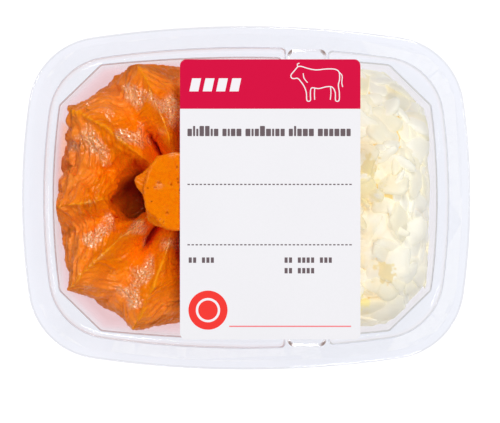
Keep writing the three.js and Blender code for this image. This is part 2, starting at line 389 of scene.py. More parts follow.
# The flat rim as triangles between its borders: the lip, both bays, the pan's outside and inside
def flatRim(points, loops):
    borders = [points[loop, :2] for loop in loops]
    edges, first = [], 0
    for loop in loops:
        edges += [(first + i, first + (i + 1) % len(loop)) for i in range(len(loop))]
        first += len(loop)
    made = delaunay_2d_cdt([Vector(p) for p in np.concatenate(borders)], edges, [], 1, 1e-6)
    newPoints, triangles, sources = made[0], made[2], made[3]
    index = np.concatenate(loops)
    middles = np.array([sum((newPoints[v] for v in t), Vector((0, 0))) / 3 for t in triangles])
    inHole = (insideOf(borders[1], middles) | insideOf(borders[2], middles)
              | (insideOf(borders[3], middles) & ~insideOf(borders[4], middles)))
    return [[int(index[sources[v][0]]) for v in t]
            for t, hole in zip(triangles, inHole) if not hole]


# The sheet's upper face: both bays, the lip, the pan and the flat rim between them
def makeTray(material):
    lip, pan = lipRings(), panRings()
    parts = [bayPart("tartare"), bayPart("onion"), ringPart(lip, 0.0), ringPart(pan, 0.5)]
    firsts = np.cumsum([0] + [len(part[0]) for part in parts]).tolist()
    lipCount, panCount = len(lip[0][0]), len(pan[0][0])
    spans = [(firsts[3] - lipCount, lipCount), (firsts[0], len(bayWalls["tartare"][0])),
             (firsts[1], len(bayWalls["onion"][0])), (firsts[3], panCount),
             (firsts[4] - panCount, panCount)]
    loops = [np.arange(first, first + count) for first, count in spans]
    points = np.concatenate([part[0] for part in parts])
    faces = [[v + first for v in face]
             for first, part in zip(firsts, parts) for face in part[1]]
    piece = makePiece("clear_tray", points, faces + flatRim(points, loops), [material])
    for name in ("bend", "byPaste", "pasteGlow"):
        setAttribute(piece, name, np.concatenate([part[2][name] for part in parts]))
    wall = piece.modifiers.new("wall", "SOLIDIFY")
    wall.thickness = tray["sheet"] * mm
    wall.offset = -1
    return applied(piece)


# Turns a piece with modifiers into a plain mesh
def applied(piece):
    evaluated = piece.evaluated_get(bpy.context.evaluated_depsgraph_get())
    plain = bpy.data.meshes.new_from_object(evaluated)
    piece.modifiers.clear()
    old, piece.data = piece.data, plain
    plain.name = piece.name
    bpy.data.meshes.remove(old)
    return piece


# Formed PET: clear, hard and glossy; where a tight bend throws the light aside, a dark line is
# painted into its tint as painted shade
# its pink tints beside the paste are painted reflections of the paste, and the warm line is the
# painted bend line tinted by it
clearPet = {"face": "#F7F8FC", "byPaste": "#F6E7EA", "reflected": "#FBDDD2",
            "grazing": "#F6F4F7", "warmLine": "#B8958F", "coolLine": "#C4C3BE",
            "roughness": 0.06, "headOn": 0.035, "edgeOn": 0.13}
# How fast a clear sheet reflects more, and turns to its other tint, as it is seen edge on
edgePower = {"reflect": 5.0, "tint": 3.0}


def formedColour(tree, look, colour):
    glow, warm, bend = (
        addNode(tree, "ShaderNodeAttribute", attribute_name=name).outputs["Fac"]
        for name in ("pasteGlow", "byPaste", "bend"))
    # Painted light in the tint: a pink painted reflection of the paste, a stronger painted reflection
    # where the paste lies close, then each bend's painted dark line
    close = addNode(tree, "ShaderNodeMath", [glow, 1.0], operation="SUBTRACT", use_clamp=True)
    line = addNode(tree, "ShaderNodeMix", {
        "Factor": warm, 6: linearColour(look["coolLine"]), 7: linearColour(look["warmLine"])},
        data_type="RGBA")
    for share, other in ((glow, linearColour(look["byPaste"])),
                         (close.outputs[0], linearColour(look["reflected"])),
                         (bend, line.outputs[2])):
        mixed = addNode(tree, "ShaderNodeMix", {"Factor": share, 6: colour, 7: other},
                        data_type="RGBA")
        colour = mixed.outputs[2]
    return colour


def makeClearSheet(name, look, isFormed):
    material, tree = newMaterial(name)
    facing = addNode(tree, "ShaderNodeLayerWeight", {"Blend": 0.5}).outputs["Facing"]
    power = addNode(tree, "ShaderNodeMath", [facing, edgePower["reflect"]], operation="POWER")
    reflect = addNode(tree, "ShaderNodeMath", [power.outputs[0], look["edgeOn"], look["headOn"]],
                      operation="MULTIPLY_ADD")
    edgeOn = addNode(tree, "ShaderNodeMath", [facing, edgePower["tint"]], operation="POWER")
    tint = addNode(tree, "ShaderNodeMix", {
        "Factor": edgeOn.outputs[0], 6: linearColour(look["face"]),
        7: linearColour(look["grazing"])}, data_type="RGBA")
    colour = formedColour(tree, look, tint.outputs[2]) if isFormed else tint.outputs[2]
    through = addNode(tree, "ShaderNodeBsdfTransparent", {"Color": colour})
    gloss = addNode(tree, "ShaderNodeBsdfGlossy", {"Roughness": look["roughness"]})
    mixed = addNode(tree, "ShaderNodeMixShader", [reflect.outputs[0], through.outputs[0],
                                                 gloss.outputs[0]])
    closeMaterial(tree, mixed.outputs[0])
    return material


# Lid film: thin, clear and stretched flat, welded to the rim
film = {"inset": 2.6, "thickness": 0.1, "steps": (24, 14)}
clearFilm = {"face": "#FFFFFF", "grazing": "#FAFAFB", "roughness": 0.04, "headOn": 0.015,
             "edgeOn": 0.2}


def makeFilm(material):
    outline = rimOutline(film["inset"], film["steps"])
    count = len(outline)
    levels = [rimTop, rimTop + film["thickness"]]
    points = np.concatenate([np.column_stack([outline, np.full(count, z)]) for z in levels])
    faces = ringQuads(2, count) + [list(range(count))[::-1], list(range(count, 2 * count))]
    return makePiece("lid_film", points, faces, [material], smooth=False)


# Tartare: each ridge is (direction of its tip in degrees, reach in mm, swing of its crest on the
# way in, how far its crest runs on to join the cap from 0 to 1, place of the valley after it at
# the outside and at the inside, from 0 to 1)
tartare = {
    "middle": (-21.8, 1.1),
    "ridges": [
        (108, 46.3, -12, 0.9, 0.46, 0.42), (141.5, 45.4, -12, 0.85, 0.56, 0.4),
        (186, 41.2, -4, 0.0, 0.33, 0.72), (221, 47.0, -8, 1.0, 0.5, 0.45),
        (251.5, 46.3, 10, 0.95, 0.5, 0.5), (288, 44.5, 4, 0.7, 0.45, 0.5),
        (324, 38, -5, 0.8, 0.55, 0.5), (359, 30.6, -8, 0.5, 0.5, 0.5),
        (395, 37.5, -4, 0.9, 0.5, 0.5), (431, 44, -9, 0.6, 0.52, 0.5),
    ],
    # each section point is (share of the reach, height)
    "crest": [(0.9, 0.5), (0.935, 5), (0.96, 12), (0.98, 18), (0.995, 23), (1.0, 26.4),
              (0.96, 28.3), (0.865, 29.3), (0.76, 29.8), (0.67, 30.3)],
    "crestOpen": [(0.6, 29.2), (0.565, 25), (0.53, 15), (0.48, 8.5), (0.4, 6), (0.3, 6)],
    "crestJoined": [(0.58, 30.9), (0.5, 31.4), (0.43, 31.7), (0.36, 31.6), (0.3, 30.6),
                    (0.25, 28.5)],
    "valley": [(0.89, 0.5), (0.935, 4), (0.965, 9), (0.965, 13.6), (0.94, 17.4), (0.89, 20),
               (0.82, 22), (0.74, 23), (0.66, 23.2), (0.585, 22.0), (0.515, 18.5), (0.455, 13.5),
               (0.4, 9), (0.35, 6.5), (0.3, 5.5), (0.25, 5.5)],
    "crestEdge": 1.15, "slitEdge": 0.65, "slitFrom": 8, "slitTo": 13, "slitShare": 0.8,
    # painted shade darkens the paste in the hollow between the two hollow heights
    "slitLift": 8.0, "hollow": (7.0, 15.0),   # heights between which it darkens
    "capRim": [(90, 13.8), (109, 13.9), (122, 14.1), (134, 13.3), (149, 12.0), (186, 11.6),
               (211, 11.7), (227, 10.9), (239, 11.7), (255, 12.0), (271, 11.9), (300, 12.2),
               (330, 12.6), (360, 12.4), (390, 12.8), (420, 13.5)],
    "curls": [(161, 15, 3.3), (225, 12, 2.4), (318, 14, 2.0)],  # direction, spread, size
    "cap": [(0.66, 22), (0.77, 27), (0.9, 30.2), (0.98, 32.0), (0.93, 33.4), (0.985, 34.5),
            (0.965, 35.3), (0.9, 35.6), (0.6, 35.6), (0.3, 35.6), (0.02, 35.6)],
    "curlPoints": {1: 0.3, 2: 0.8, 3: 1.0, 4: 0.15},
    "stepsShown": 72, "stepsUnderLabel": 37, "underLabel": (5, 6, 7, 8),
    "sectionSteps": [(0, 0), (3, 24), (12, 104), (23, 150), (26, 170)],   # (control point, step)
}


def catmullRom(control, knots, at):
    index = np.clip(np.searchsorted(knots, at, side="right") - 1, 0, len(knots) - 2)
    span = knots[index + 1] - knots[index]
    t = ((at - knots[index]) / span)[None, :, None]
    slopes = np.empty_like(control)
    slopes[:, 1:-1] = ((control[:, 2:] - control[:, :-2])
                       / (knots[2:] - knots[:-2])[None, :, None])
    slopes[:, 0] = (control[:, 1] - control[:, 0]) / (knots[1] - knots[0])
    slopes[:, -1] = (control[:, -1] - control[:, -2]) / (knots[-1] - knots[-2])
    a, b = control[:, index], control[:, index + 1]
    sa, sb = slopes[:, index] * span[None, :, None], slopes[:, index + 1] * span[None, :, None]
    return ((2 * t ** 3 - 3 * t ** 2 + 1) * a + (t ** 3 - 2 * t ** 2 + t) * sa
            + (3 * t ** 2 - 2 * t ** 3) * b + (t ** 3 - t ** 2) * sb)


def noiseAt(points, offset=0.0):
    return np.array([noise.noise(p) for p in (np.asarray(points) + offset).tolist()])


def gridNormals(grid):
    along = np.gradient(grid, axis=1)
    around = (np.roll(grid, -1, axis=0) - np.roll(grid, 1, axis=0)) / 2
    normal = np.cross(around, along)
    return normal / (np.linalg.norm(normal, axis=2, keepdims=True) + 1e-9)


# Outline of the flat end piece in one direction, at each point of its section
def capRadii(degrees):
    rimTurns, rimRadii = np.array(tartare["capRim"]).T
    radii = np.interp(degrees, rimTurns, rimRadii, period=360) * np.array(tartare["cap"])[:, 0]
    for curlTurn, spread, size in tartare["curls"]:
        off = (degrees - curlTurn + 180) % 360 - 180
        for point, share in tartare["curlPoints"].items():
            radii[point] += size * share * math.exp(-(off / spread) ** 2)
    return radii


# The smooth swirl before its relief, as a grid of points: round the swirl, then foot to cap
def swirlGrid():
    first = tartare["ridges"][0]
    ridges = tartare["ridges"] + [(first[0] + 360, *first[1:])]
    valley, cap = np.array(tartare["valley"]), np.array(tartare["cap"])
    inward = np.interp(np.arange(len(valley)), [tartare["slitFrom"], tartare["slitTo"]], [0, 1])
    slit = tartare["slitShare"] * inward
    crestOpen = np.array(tartare["crest"] + tartare["crestOpen"])
    crestJoined = np.array(tartare["crest"] + tartare["crestJoined"])
    rows, crestness, turns, owners = [], [], [], []
    for index, (ridgeA, ridgeB) in enumerate(zip(ridges, ridges[1:])):
        steps = tartare["stepsUnderLabel" if index in tartare["underLabel"] else "stepsShown"]
        turnA, reachA, swingA, joinA, lowOut, lowIn = ridgeA
        turnB, reachB, swingB, joinB = ridgeB[:4]
        low = lowOut + (lowIn - lowOut) * inward
        bed = valley + inward[:, None] * (0, tartare["slitLift"] * min(joinA, joinB))
        for step in range(steps):
            between = step / steps
            near = np.where(between < low, 1 - between / low, (between - low) / (1 - low))
            sharp = ((1 - slit) * near ** tartare["crestEdge"]
                     + slit * np.sin(math.pi / 2 * near) ** tartare["slitEdge"])[:, None]
            joined = np.where(between < low, joinA, joinB)[:, None]
            crest = crestOpen + (crestJoined - crestOpen) * joined
            section = bed + (crest - bed) * sharp
            tips = []
            for turn, reach, swing in ((turnA, reachA, swingA), (turnB, reachB, swingB)):
                angle = np.radians(turn + swing * (1 - section[:, 0]))
                tips.append(reach * np.stack([np.cos(angle), np.sin(angle)], 1))
            flat = (tips[0] * (1 - between) + tips[1] * between) * section[:, :1]
            degrees = (turnA + swingA) * (1 - between) + (turnB + swingB) * between
            capTurn, radii = math.radians(degrees), capRadii(degrees)
            capFlat = np.stack([radii * math.cos(capTurn), radii * math.sin(capTurn)], 1)
            rows.append(np.column_stack([np.concatenate([flat, capFlat]),
                                         np.concatenate([section[:, 1], cap[:, 1]])]))
            crestness.append(near[0])
            turns.append(capTurn)
            owners.append(index)
    control = np.array(rows)
    control[:, :, :2] += tartare["middle"]
    chord = np.linalg.norm(np.diff(control, axis=1), axis=2).mean(0)
    knots = np.concatenate([[0], np.cumsum(chord)])
    marks, steps = np.array(tartare["sectionSteps"]).T
    at = np.interp(np.arange(steps[-1] + 1), steps, knots[marks])
    grid = catmullRom(control, knots, at)
    return grid, at, knots, np.array(crestness), np.array(turns), np.array(owners)


# Relief of the swirl: heights, sizes and pitches are in mm, coarser than real mince, so that
# they show
relief = {
    # noise as (height, size, seed)
    "lump": (0.6, 5.2, 7.1), "blob": (0.22, 1.6, 27.1), "grain": (0.14, 0.8, 19.4),
    "ragged": (0.4, 1.1, 61.0), "sway": (0.8, 6.0), "swaySeeds": (41.0, 57.0),
    # lines drawn along the ridges: rounded lobes with finer lines on them, that wander a little
    "streak": {"height": 1.1, "pitch": 1.15, "run": 6.0, "radius": 38, "wander": (2.6, 8.0, 3.7),
               "lobe": 1.3, "lobePitch": 0.7, "lobeRound": 0.006, "lobeSeed": 11.3,
               "sunk": 0.4, "fine": 0.6, "fineSeed": 23.1},
    "streaked": (0.8, 1.3, 1.0, 0.4, 0.5, 0.7, 0.7, 0.7, 0.7, 0.8),   # after each ridge
    "slit": {"depth": 0.8, "pitch": 1.5, "run": 0.8, "thin": 7, "seed": 31.9,
             "patches": (3, 5.5, 71.0), "least": 0.2},
    "bead": {"height": 0.16, "width": 0.055, "size": (0.85, 0.6, 1), "uneven": (0.5, 3.4, 87.0)},
    # lines that spread from a ridge's tip: lines to a radian, how far they run in mm, and the
    # angles to the side of the ridge between which they show
    "fan": {"ridges": (1, 2, 3, 4), "height": 0.45, "lines": 9.0, "run": 11.0, "length": 7.0,
            "apart": 9.0, "sides": (0.0, 0.25, 1.35, 1.7), "clear": 1.5, "coarse": 0.5,
            "seed": 13.7},
    "pits": {"count": 34, "seed": 12, "within": 10.5, "sizes": (0.2, 0.38), "depth": 0.7,
             "above": 35},
    # how strong each is along the section, as (control point, strength)
    "along": {"sway": [(0, 0.5), (2, 1), (14, 1), (17, 0.2)],
              "rough": [(0, 1.5), (4, 1.5), (7, 1.3), (9, 0.9), (12, 0.35), (17, 0.4)],
              "body": [(17, 1.0), (19, 0.9), (22, 0.5), (23, 0.06)],
              "bead": [(0, 0), (4, 0), (6, 1), (13, 1), (16, 0)],
              "wall": [(4, 1), (7, 0)], "uncapped": [(21, 1), (23, 0.4)],
              # outside: where a painted paler light lies on the outer walls; inner: where the
              # hollow's painted shade may fall
              "outside": [(0, 1), (4, 1), (6, 0.6), (8, 0)], "inner": [(10, 0), (12, 1)]},
    # where the paste tore open and stands rough and wet, with painted pale glints: place and radius
    # in mm
    "torn": [(-35.4, 19.2, 3.6), (-39.9, 21.8, 2.5), (-24.8, 30.1, 4.8), (-23.8, 25.0, 2.6),
             (-38.0, 35.3, 3.2), (-34.1, 32.1, 3.2), (-45.7, -9.7, 3.6), (-49.6, -13.6, 3.2),
             (-34.8, -9.7, 3.4), (-34.1, -24.8, 4.2), (-37.3, -30.3, 3.6), (-30.9, -20.6, 2.6),
             (-23.5, -14.2, 3.8), (-52.8, 20.2, 4.2), (-48.6, 15.4, 4.0)],
    "tornNoise": (0.8, 5.0, 5.3), "tornStrength": 0.95,
    # loose strips along the outer edge: direction, half length in degrees, place, width, rise
    "strips": [(180.5, 5.5, 0.6, 0.55, 0.9), (171, 4.0, 2.2, 0.5, 0.8), (166, 3.5, 0.2, 0.5, 0.6)],
    "stripStart": 5, "stripSlope": 0.12, "stripGroove": (0.8, 1.8), "gap": 0.12, "filmGap": 0.08,
}


def noiseLayer(points, layer):
    height, size, seed = layer
    return height * noiseAt(points / size, seed)


# Lines that the nozzle drew out of each tip: their place round the tip and how strong they are
def tipFans(smooth, owners, along):
    fan = relief["fan"]
    flat = smooth.reshape(len(owners), along, 3)
    place, share = np.zeros(flat.shape), np.zeros(flat.shape[:2])
    for index, (turn, reach, *_) in enumerate(tartare["ridges"]):
        mine = owners == index
        a = math.radians(turn)
        out = np.array([math.cos(a), math.sin(a)])
        away = flat[mine][:, :, :2] - (np.array(tartare["middle"]) + reach * out)
        distance = np.linalg.norm(away, axis=2)
        aside = np.arctan2(away @ np.array([-out[1], out[0]]), -(away @ out))
        place[mine] = np.stack([aside * fan["lines"], distance / fan["length"],
                                np.full(distance.shape, index * fan["apart"])], 2)
        if index in fan["ridges"]:
            share[mine] = (np.interp(aside, fan["sides"], [0, 1, 1, 0])
                           * np.exp(-(distance / fan["run"]) ** 2)
                           * (1 - np.exp(-(distance / fan["clear"]) ** 2)))
    return place, share


# Lines drawn along the ridges: where each point lies among them, and how high they stand there
def drawnLines(smooth, at, turns):
    streak = relief["streak"]
    angle = np.repeat(turns, len(at))
    run = streak["radius"] / streak["run"]
    across = np.tile(at, len(turns)) + noiseLayer(smooth, streak["wander"])
    place = np.column_stack([run * np.cos(angle), run * np.sin(angle), across / streak["pitch"]])
    lobes = np.sqrt(noiseAt(place * (1, 1, streak["lobePitch"]), streak["lobeSeed"]) ** 2
                    + streak["lobeRound"])
    return place, (streak["lobe"] * lobes - streak["sunk"]
                   + streak["fine"] * noiseAt(place, streak["fineSeed"]))


# Thin slits between the drawn lines, in patches
def slitLines(smooth, drawnPlace):
    slit = relief["slit"]
    stretch = (slit["run"], slit["run"], relief["streak"]["pitch"] / slit["pitch"])
    lines = 1 - slit["thin"] * np.abs(noiseAt(drawnPlace * stretch, slit["seed"]))
    return (np.clip(lines, 0, 1)
            * np.clip(noiseLayer(smooth, slit["patches"]) - slit["least"], 0, 1))


def tornShare(smooth):
    torn = noiseLayer(smooth, relief["tornNoise"])
    for x, y, radius in relief["torn"]:
        away = np.linalg.norm(smooth[:, :2] - (x, y), axis=1)
        torn += relief["tornStrength"] * np.exp(-(away / radius) ** 2)
    return torn.clip(0, 1)


def looseStrips(at, start, turns):
    strips = np.zeros((len(turns), len(at)))
    depth, beside = relief["stripGroove"]
    for turn, spread, place, width, height in relief["strips"]:
        off = (np.degrees(turns) - turn + 180) % 360 - 180
        level = (at - start - place - relief["stripSlope"] * off[:, None]) / width
        strips += (height * np.exp(-(off / spread) ** 4)[:, None]
                   * (np.exp(-level ** 2) - depth * np.exp(-(level - beside) ** 2)))
    return strips


# Small pits in the flat end piece
def capPits(points):
    pits = relief["pits"]
    seeded = np.random.default_rng(pits["seed"])
    turns = seeded.uniform(0, 2 * math.pi, pits["count"])
    outs = pits["within"] * np.sqrt(seeded.uniform(0, 1, pits["count"]))
    pitted = np.zeros(len(points))
    for turn, out, size in zip(turns, outs, seeded.uniform(*pits["sizes"], pits["count"])):
        centre = np.array(tartare["middle"]) + out * np.array([math.cos(turn), math.sin(turn)])
        away = np.linalg.norm(points[:, :2] - centre, axis=1)
        inPit = np.where(points[:, 2] > pits["above"], np.exp(-(away / size) ** 2), 0)
        pitted = np.maximum(pitted, inPit)
    return pitted


def makeTartare(material):
    grid, at, knots, crestness, turns, owners = swirlGrid()
    around, along = grid.shape[:2]
    shape = lambda values: np.asarray(values).reshape(around, along)
    strength = {}
    for name, marks in relief["along"].items():
        controls, values = zip(*marks)
        strength[name] = np.interp(at, knots[list(controls)], values)
    smooth = grid.reshape(-1, 3).copy()
    sway, swaySize = relief["sway"]
    for axis, seed in enumerate(relief["swaySeeds"]):
        grid[:, :, axis] += shape(noiseAt(smooth / swaySize, seed)) * sway * strength["sway"]
    neck = knots[len(tartare["valley"]) + 1]
    onRidges = np.where(at > neck, 0, 1)
    streaked = np.array(relief["streaked"])[owners][:, None]
    drawnPlace, streak = drawnLines(smooth, at, turns)
    fanPlace, fanShare = tipFans(smooth, owners, along)
    fanAt = fanPlace.reshape(-1, 3) * (relief["fan"]["coarse"], 1, 1)
    beadLook = relief["bead"]
    size, least, most = beadLook["size"]
    beadSize = shape(size + noiseLayer(smooth, beadLook["uneven"])).clip(least, most)
    # the crest line is raised and also carries a painted lighter colour in the paste
    onCrest = np.exp(-((1 - crestness) / beadLook["width"]) ** 2)[:, None]
    bead = onCrest * beadSize * strength["bead"]
    lumps = sum(shape(noiseLayer(smooth, relief[name])) for name in ("lump", "blob", "grain"))
    drawn = relief["streak"]["height"] * strength["rough"] * shape(streak) * streaked
    slits = relief["slit"]["depth"] * shape(slitLines(smooth, drawnPlace)) * strength["rough"]
    rise = (strength["body"] * (lumps + drawn) - slits * onRidges
            + strength["wall"] * shape(noiseLayer(smooth, relief["ragged"]))
            + looseStrips(at, knots[relief["stripStart"]], turns)
            + beadLook["height"] * bead
            + relief["fan"]["height"] * fanShare * shape(noiseAt(fanAt, relief["fan"]["seed"])))
    grid = grid + gridNormals(grid) * rise[:, :, None]
    points = grid.reshape(-1, 3)
    pitted = capPits(points)
    points[:, 2] -= relief["pits"]["depth"] * pitted
    points = keepInside("tartare", points, relief["gap"])
    points[:, 2] = np.clip(points[:, 2], tray["sheet"], rimTop - relief["filmGap"])
    low, high = tartare["hollow"]
    deep = np.clip((high - shape(points[:, 2])) / (high - low), 0, 1)
    shares = {"crestLine": bead, "uncapped": strength["uncapped"], "fanShare": fanShare,
              "drawnShare": strength["rough"] / strength["rough"].max() * onRidges * streaked,
              "torn": shape(tornShare(smooth)), "outside": strength["outside"],
              "inHollow": strength["inner"] * deep, "pitted": shape(pitted)}
    rings = points.reshape(around, along, 3).transpose(1, 0, 2).reshape(-1, 3)
    last = (along - 1) * around
    faces = (ringQuads(along, around) + fanFaces(around, 0, len(rings), flip=True)
             + fanFaces(around, last, len(rings) + 1))
    ends = [rings[:around].mean(0), rings[last:].mean(0)]
    piece = makePiece("tartare_swirl", np.vstack([rings, ends]), faces, [material])
    for name, values in shares.items():
        fine = np.broadcast_to(values, (around, along)).T.ravel()
        footAndTop = [1, 0] if name in ("uncapped", "outside") else [0, 0]
        setAttribute(piece, name, np.append(fine, footAndTop))
    pipedPlace = drawnPlace * relief["streak"]["pitch"]
    for name, values in (("pipedPlace", pipedPlace), ("fanPlace", fanPlace)):
        fine = values.reshape(around, along, 3).transpose(1, 0, 2).reshape(-1, 3)
        setPlaces(piece, name, np.vstack([fine, fine[:2]]))
    return piece


# Beef tartare paste: fine moist mince, strong orange, with a thin film of fat. Torn places are
# wet, with painted pale glints; grain and drawn lines are coarser than real mince, so that they show
# Painted light and shade among these colours: a lighter line on the crests, paler light on the outer
# walls, dark red shade in the pits and the hollow, and pale glints in the torn patches
paste = {"body": "#F87400", "light": "#FF8E00", "crest": "#FF9808", "fleck": "#E46000",
         "pitShade": "#8A2A00", "outside": "#FF9848", "inHollow": "#7C1E00", "marbled": "#FFCE9C",
         # pitch in mm, strength
         "glintWeb": (0.95, 0.6), "patchSize": 5.0, "grain": (1.05, 0.55), "fineGrain": 0.09,
         "drawn": (0.9, 0.2), "fan": 0.5, "most": {"outside": 0.6, "pitShade": 0.8, "inHollow": 0.8},
         # ramps as (from low, from high, to low, to high); two numbers are the first two
         "fleckRamp": (0.38, 0.5, 0.25, 0.0), "strandRamp": (0.08, 0.28, 1.0, 0.0),
         "wetRamp": (0.25, 0.75), "glintPatchRamp": (0.4, 0.9), "roughRamp": (0.35, 0.65),
         "roughness": (0.3, 0.45), "gloss": 0.35, "glossTint": "#FFC000", "dry": 0.08,
         "wetRoughness": 0.23, "wetIor": 1.9, "scatter": 0.3, "scatterDepth": (1.3, 0.5, 0.1)}


def makePaste():
    material, tree = newMaterial("beef_tartare_paste")
    shareNames = ("torn", "uncapped", "outside", "crestLine", "pitted", "inHollow")
    torn, uncapped, outside, crest, pitted, inHollow = (
        addNode(tree, "ShaderNodeAttribute", attribute_name=name).outputs["Fac"]
        for name in shareNames)
    where = addNode(tree, "ShaderNodeTexCoord").outputs["Object"]
    patches = addNode(tree, "ShaderNodeTexNoise", {
        "Vector": where, "Scale": 1 / (paste["patchSize"] * mm), "Detail": 3.0})
    grain = addNode(tree, "ShaderNodeTexNoise", {
        "Vector": where, "Scale": 1 / (paste["grain"][0] * mm), "Detail": 0.0})
    colour = addNode(tree, "ShaderNodeMix", {
        "Factor": patches.outputs[0], 6: linearColour(paste["body"]),
        7: linearColour(paste["light"])}, data_type="RGBA")
    fleckShare = addNode(tree, "ShaderNodeMapRange", [grain.outputs[0], *paste["fleckRamp"]])
    coarse = addNode(tree, "ShaderNodeMapRange", [torn, *paste["wetRamp"], paste["dry"], 1.0])
    wetness = addNode(tree, "ShaderNodeMath", [coarse.outputs[0], uncapped],
                      operation="MULTIPLY")
    # painted glints: a pale web painted over the torn patches stands in for glints of light
    web = addNode(tree, "ShaderNodeTexVoronoi", {
        "Vector": where, "Scale": 1 / (paste["glintWeb"][0] * mm), "Randomness": 1.0},
        feature="DISTANCE_TO_EDGE")
    strand = addNode(tree, "ShaderNodeMapRange", [web.outputs[0], *paste["strandRamp"]])
    inPatch = addNode(tree, "ShaderNodeMapRange", [
        torn, *paste["glintPatchRamp"], 0.0, paste["glintWeb"][1]])
    marbled = addNode(tree, "ShaderNodeMath", [strand.outputs[0], inPatch.outputs[0]],
                      operation="MULTIPLY")
    # random tone patches and flecks, then painted light on the crests and outer walls, painted shade
    # in the pits and the hollow, and painted glints
    shown = colour.outputs[2]
    for name, share in (("fleck", fleckShare.outputs[0]), ("outside", outside),
                        ("crest", crest), ("pitShade", pitted), ("inHollow", inHollow),
                        ("marbled", marbled.outputs[0])):
        if name in paste["most"]:
            share = addNode(tree, "ShaderNodeMath", [share, paste["most"][name]],
                            operation="MULTIPLY").outputs[0]
        mixed = addNode(tree, "ShaderNodeMix", {
            "Factor": share, 6: shown, 7: linearColour(paste[name])}, data_type="RGBA")
        shown = mixed.outputs[2]
    rough = addNode(tree, "ShaderNodeMapRange", [
        patches.outputs[0], *paste["roughRamp"], *paste["roughness"]])
    layers = [(grain, wetness.outputs[0], paste["grain"][1]), (grain, 1.0, paste["fineGrain"])]
    for places, share, pitch, depth in (("pipedPlace", "drawnShare", *paste["drawn"]),
                                        ("fanPlace", "fanShare", 1.0, paste["fan"])):
        place = addNode(tree, "ShaderNodeAttribute", attribute_name=places)
        lines = addNode(tree, "ShaderNodeTexNoise", {
            "Vector": place.outputs["Vector"], "Scale": 1 / pitch, "Detail": 0.0})
        shareOf = addNode(tree, "ShaderNodeAttribute", attribute_name=share)
        layers.append((lines, shareOf.outputs["Fac"], depth))
    height = 0.0
    for lines, share, depth in layers:
        scaled = addNode(tree, "ShaderNodeMath", [share, depth], operation="MULTIPLY")
        summed = addNode(tree, "ShaderNodeMath", [lines.outputs[0], scaled.outputs[0], height],
                         operation="MULTIPLY_ADD")
        height = summed.outputs[0]
    bump = addNode(tree, "ShaderNodeBump", {"Height": height, "Strength": 1.0, "Distance": mm})
    shader = addNode(tree, "ShaderNodeBsdfPrincipled", {
        "Base Color": shown, "Roughness": rough.outputs[0],
        "Normal": bump.outputs[0], "IOR": 1.45, "Subsurface Weight": paste["scatter"],
        "Subsurface Radius": paste["scatterDepth"], "Subsurface Scale": mm,
        "Specular IOR Level": paste["gloss"], "Specular Tint": linearColour(paste["glossTint"]),
        "Coat Weight": wetness.outputs[0], "Coat Roughness": paste["wetRoughness"],
        "Coat IOR": paste["wetIor"], "Coat Normal": bump.outputs[0]})
    closeMaterial(tree, shader.outputs[0])
    return material


# Onion: a core that fills its bay, and chopped pieces scattered over it, sizes in mm
onion = {
    "coreTop": 25.5, "coreEdge": 15.5, "around": 96, "rings": 26, "lump": (3.0, 7.0, 2.2),
    # the core's side, as (height, gap to the wall), and the edge of its top
    "coreSide": ((0.5, 0.3), (2.0, 0.9), (5, 0.9), (9, 1.2), (12.5, 2.2)),
    "coreShoulder": (15.0, 3.6), "centre": 0.02,
    # each kind of piece is (length, width, thickness, bow to the side)
    "kinds": [(13.5, 8.5, 1.9, 0.4), (11.5, 9.0, 1.7, -0.5), (12.5, 3.0, 1.8, 2.2),
              (10.0, 6.5, 2.0, 0.6), (8.0, 6.5, 1.7, -0.3), (14.0, 2.6, 1.5, -2.6),
              (6.5, 5.0, 2.2, 0.2), (9.5, 7.5, 1.5, 0.7), (5.5, 4.0, 1.9, 0.0)],
    # a piece's rim as (share of its outline, share of its half thickness), and its unevenness
    "chipRim": ((0.3, 1.0), (0.7, 0.95), (0.93, 0.7), (1.0, 0.0), (0.93, -0.7), (0.7, -0.95),
                (0.3, -1.0)),
    "chipSteps": 18, "squareness": 3.6, "uneven": 0.13, "skew": 0.3, "taper": 0.28,
    "bowAlong": (16, 40), "bowAcross": (7, 14), "firstSeed": 40,
    "seed": 5, "leanSeed": 3, "toneSeed": 9, "density": 400000.0,
    "spacing": 3.9, "sizes": (0.95, 1.4), "tilt": 0.42,
    "wallGap": 0.1, "floorGap": 0.05, "filmGap": 0.6,
}


def onionCore(material):
    turn = np.linspace(0, 2 * math.pi, onion["around"], endpoint=False)
    count = len(turn)
    rings = [(wallLimit("onion", turn, np.full(count, height), gap), height)
             for height, gap in onion["coreSide"]]
    shoulder, gap = onion["coreShoulder"]
    edge = wallLimit("onion", turn, np.full(count, shoulder), gap)
    for share in np.linspace(1, onion["centre"], onion["rings"]):
        height = onion["coreTop"] + (onion["coreEdge"] - onion["coreTop"]) * share ** 3
        rings.append((edge * share, height))
    cx, cy = tray["bayCentres"]["onion"]
    points = np.concatenate([
        np.column_stack([cx + r * np.cos(turn), cy + r * np.sin(turn), np.full(count, z)])
        for r, z in rings])
    lumps = noiseLayer(points, onion["lump"])
    points[:, 2] += np.where(points[:, 2] > shoulder, lumps, 0)
    faces = ringQuads(len(rings), count)
    last = (len(rings) - 1) * count
    faces += [list(range(count))[::-1], [last + i for i in range(count)]]
    return makePiece("onion_core", points, faces, [material])


